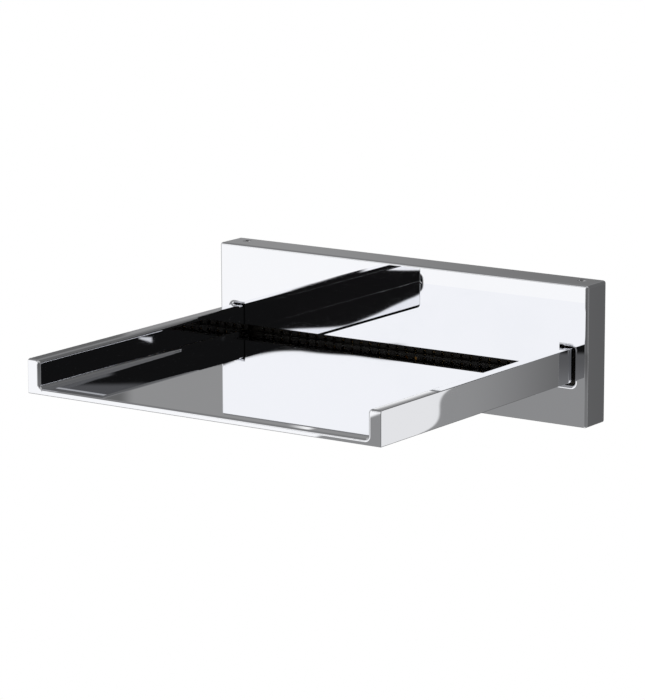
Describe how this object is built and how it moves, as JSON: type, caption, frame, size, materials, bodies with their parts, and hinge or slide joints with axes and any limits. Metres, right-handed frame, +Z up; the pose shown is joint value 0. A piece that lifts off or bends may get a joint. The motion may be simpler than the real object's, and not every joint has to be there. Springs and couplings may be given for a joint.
{
  "type": "wall-mounted cascade bath spout",
  "caption": "Chromed wall bath spout: a wide open tray pours a sheet of water from a slot at the foot of a hollow rectangular cover that hides the wall bracket and inlet.",
  "frame": {"origin": "centre of the wall-screw pattern on the wall plane, which is also the inlet's axis", "axes": "+Z up, +Y into the wall, -Y along the tray to its lip, +X to the right as seen from the front"},
  "size_m": [0.2, 0.2037, 0.0642],
  "materials": {
    "chrome_plate": "mirror-polished chrome plate on brass",
    "raw_brass": "bare cast and turned brass, slightly dulled",
    "stainless": "stainless steel, mill finish",
    "gasket_rubber": "moulded rubber sheet",
    "seal_foam": "closed-cell foam rubber",
    "fibre": "pressed fibre sheet",
    "black_plastic": "moulded acetal"
  },
  "bodies": {
    "wall_body": {"spout_tray": "chrome_plate", "water_chamber": "raw_brass", "inlet_bush": "raw_brass", "inlet_nipple": "raw_brass", "chamber_screws": "stainless", "wall_bracket": "stainless", "bracket_standoffs": "stainless", "body_screws": "stainless", "body_washers": "stainless", "wall_screws": "stainless", "wall_washers": "stainless", "chamber_gasket": "gasket_rubber", "nipple_washer": "fibre", "spreader_plate": "black_plastic"},
    "cover": {"cover_plate": "chrome_plate", "cover_grub_screws": "stainless", "wall_seal": "seal_foam"}
  },
  "joints": [
    {"name": "cover_slide", "type": "slide", "parent": "wall_body", "child": "cover", "axis": [0, -1, 0], "range_m": [0, 0.15]}
  ]
}
